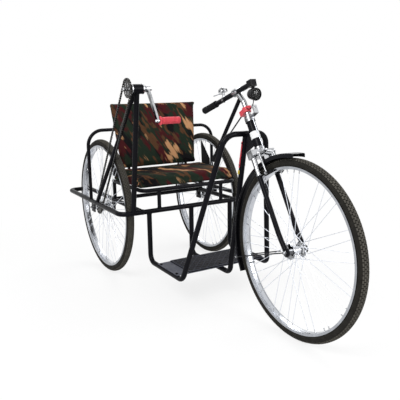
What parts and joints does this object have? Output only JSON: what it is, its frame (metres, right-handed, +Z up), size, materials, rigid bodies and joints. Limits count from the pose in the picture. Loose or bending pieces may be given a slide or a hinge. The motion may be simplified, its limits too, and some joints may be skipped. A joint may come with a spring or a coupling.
{
  "type": "hand-propelled mobility tricycle",
  "caption": "Hand-propelled mobility tricycle with a steered front wheel and tiller, a camouflage bench seat and back, a foot platform and a hand crank with chain drive.",
  "frame": {"origin": "on the ground, in the middle plane, halfway along the whole length", "axes": "+X forward, +Y to the rider's left, +Z up"},
  "size_m": [1.9471, 0.797, 1.0174],
  "materials": {
    "black_paint": "gloss black paint",
    "chrome": "bright plate",
    "tyre": "matt rubber",
    "camouflage_cloth": "printed cloth",
    "black_cloth": "coated cloth",
    "chain_steel": "oiled steel",
    "red_plastic": "gloss",
    "red_rubber": "satin",
    "black_rubber": "matt",
    "grey_sheet": "grey paint",
    "white_plastic": "gloss",
    "black_plastic": "gloss",
    "lamp_glass": "clear"
  },
  "bodies": {
    "frame": {"lower_frame": "black_paint", "seat_rails": "black_paint", "seat_posts": "black_paint", "back_struts": "black_paint", "back_hoop": "black_paint", "front_loops": "black_paint", "middle_loop": "black_paint", "head_web": "black_paint", "head_tube": "black_paint", "headset": "chrome", "head_sleeve": "white_plastic", "footboard": "grey_sheet", "foot_mat": "black_rubber", "seat_cushion": "camouflage_cloth", "back_cushion": "camouflage_cloth", "side_panels": "black_cloth", "crank_post": "black_paint", "rear_axles": "chrome", "chain": "chain_steel", "red_cable": "red_plastic"},
    "steering": {"fork": "chrome", "fork_blades": "black_paint", "stem": "chrome", "lock_nut": "chrome", "stem_clip": "red_plastic", "tiller_bar": "black_paint", "tiller_grip": "black_rubber", "bell": "chrome", "lamp_perch": "black_plastic", "headlamp": "black_plastic", "lamp_glass": "lamp_glass", "lamp_bracket": "chrome", "brake_lever": "black_paint", "brake_rod": "black_paint", "front_brake": "chrome", "brake_pads": "black_rubber", "front_mudguard": "black_paint", "mudguard_stays": "black_paint", "front_axle": "chrome"},
    "front_wheel": {"front_tyre": "tyre", "front_rim": "chrome", "front_spokes": "chrome", "front_hub": "chrome"},
    "right_wheel": {"right_tyre": "tyre", "right_rim": "chrome", "right_spokes": "chrome", "right_hub": "chrome", "right_sprocket": "chain_steel"},
    "left_wheel": {"left_tyre": "tyre", "left_rim": "chrome", "left_spokes": "chrome", "left_hub": "chrome"},
    "crank": {"crank_arm": "chrome", "chainring": "chain_steel", "crank_grip": "red_rubber"}
  },
  "joints": [
    {"name": "steer", "type": "hinge", "parent": "frame", "child": "steering", "pos_m": [0.39019, 0, 0.718], "axis": [-0.515, 0, 0.8572], "range_deg": [-20, 20]},
    {"name": "front_wheel_spin", "type": "hinge", "parent": "steering", "child": "front_wheel", "pos_m": [0.618, 0, 0.3555], "axis": [0, 1, 0], "continuous": true},
    {"name": "right_wheel_spin", "type": "hinge", "parent": "frame", "child": "right_wheel", "pos_m": [-0.566, -0.3155, 0.3555], "axis": [0, 1, 0], "continuous": true},
    {"name": "left_wheel_spin", "type": "hinge", "parent": "frame", "child": "left_wheel", "pos_m": [-0.566, 0.3155, 0.3555], "axis": [0, 1, 0], "continuous": true},
    {"name": "crank_spin", "type": "hinge", "parent": "frame", "child": "crank", "pos_m": [-0.122, -0.2505, 0.9685], "axis": [0, 1, 0], "continuous": true}
  ]
}
